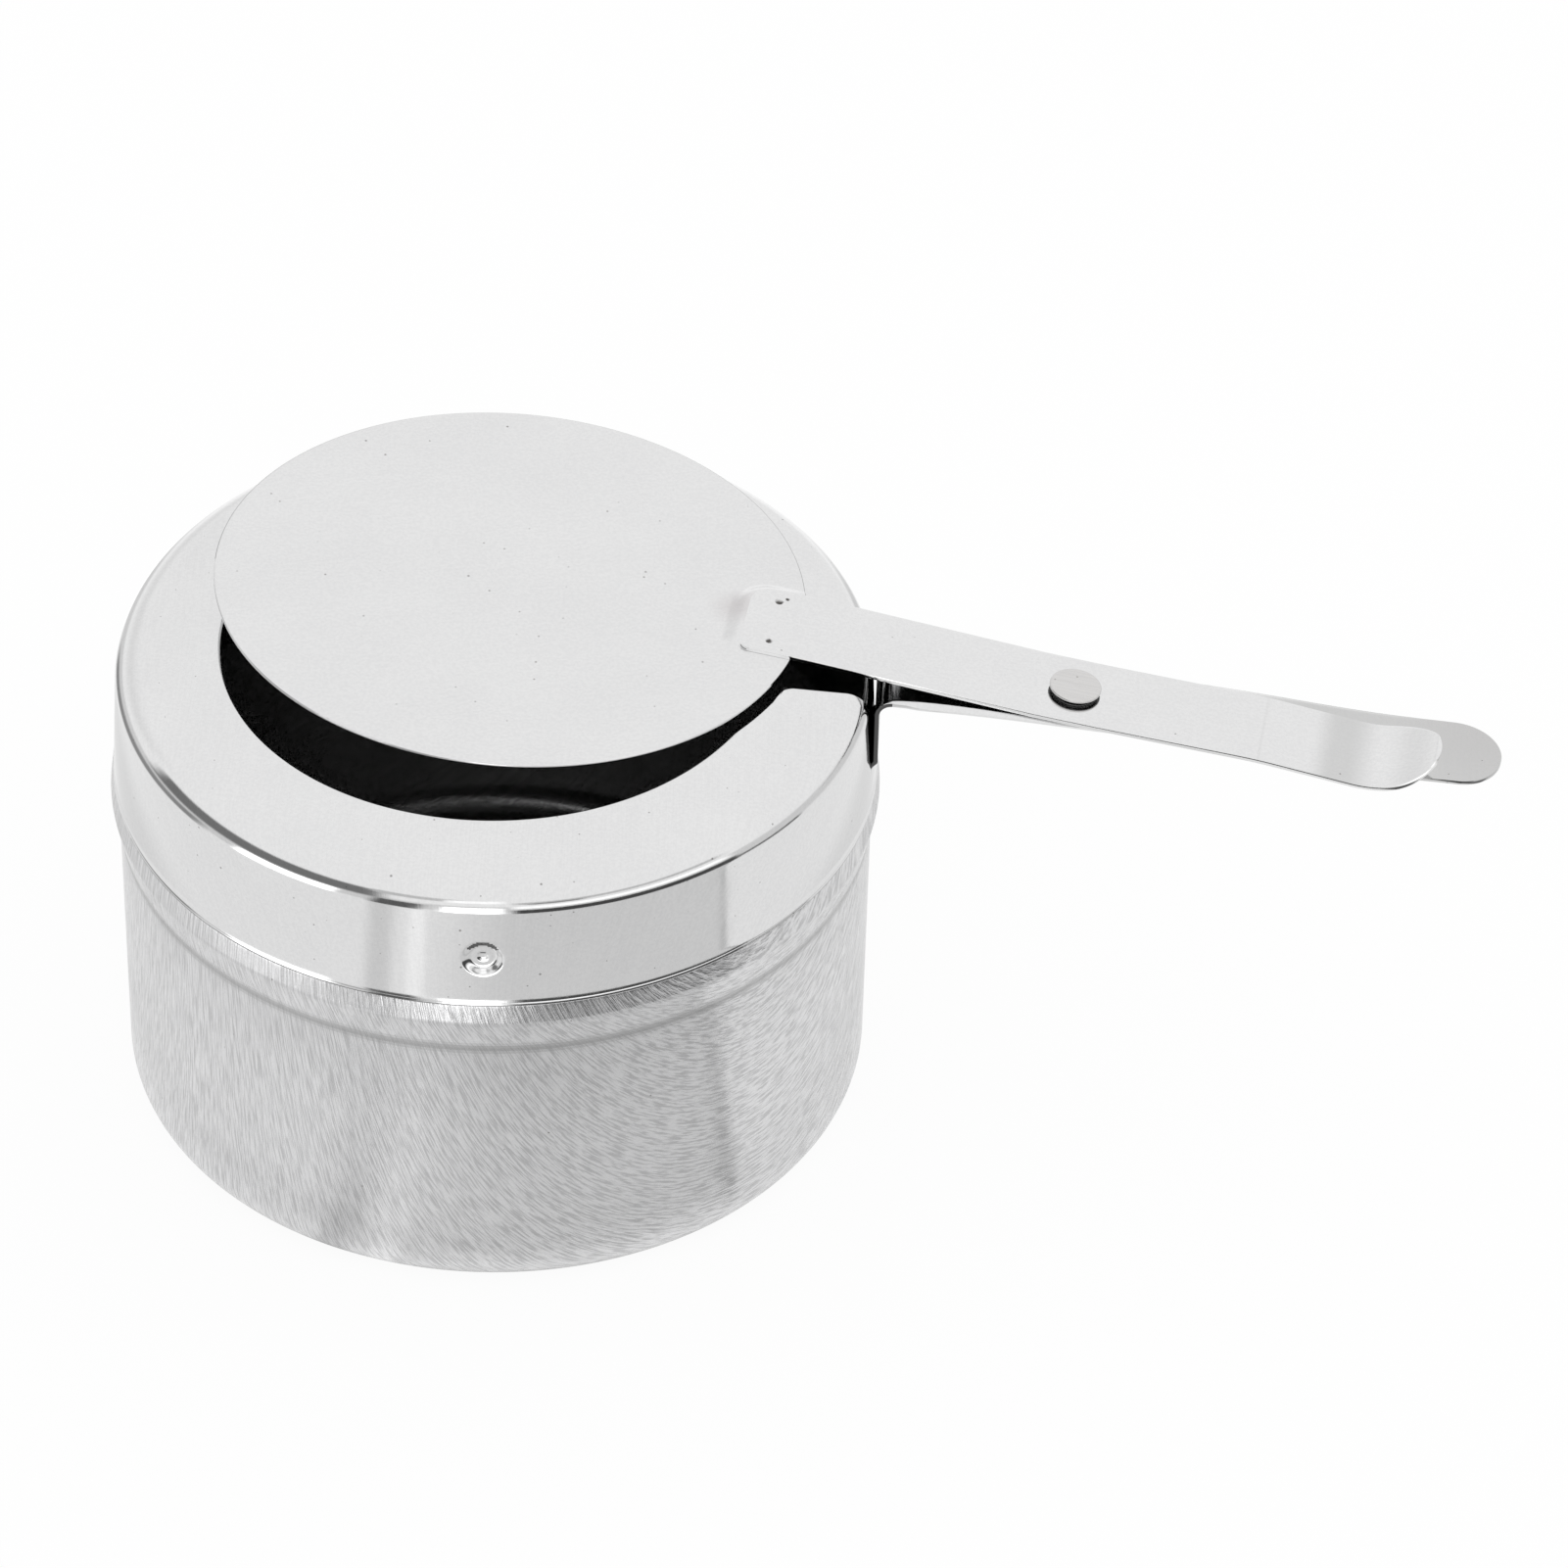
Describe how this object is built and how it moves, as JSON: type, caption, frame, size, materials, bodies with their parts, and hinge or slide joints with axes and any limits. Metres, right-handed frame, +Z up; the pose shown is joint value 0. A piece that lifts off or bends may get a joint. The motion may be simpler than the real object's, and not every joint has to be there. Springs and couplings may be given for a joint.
{
  "type": "lidded burner pot",
  "caption": "Round thin-steel pot with a loose ring cap, a tongue handle and a disc lid that swivels on a riveted lever.",
  "frame": {"origin": "centre of the pot's flat base", "axes": "Z up along the pot's axis, X outward along the handle, Y to the side that the lid has opened to"},
  "size_m": [0.1657, 0.092, 0.0672],
  "materials": {
    "pot_steel": "brushed",
    "cap_steel": "polished",
    "lid_steel": "satin",
    "lever_steel": "satin",
    "rivet_steel": "plain"
  },
  "bodies": {
    "pot": {"pot": "pot_steel"},
    "cap": {"cap": "cap_steel", "rivet": "rivet_steel"},
    "lid": {"lid_disc": "lid_steel", "lever": "lever_steel"}
  },
  "joints": [
    {"name": "cap_lift", "type": "slide", "parent": "pot", "child": "cap", "axis": [0, 0, 1], "range_m": [0, 0.03]},
    {"name": "lid_swivel", "type": "hinge", "parent": "cap", "child": "lid", "pos_m": [0.0686, 0, 0.05785], "axis": [0.1191, 0, 0.9929], "range_deg": [-103.15, 116.85]}
  ]
}
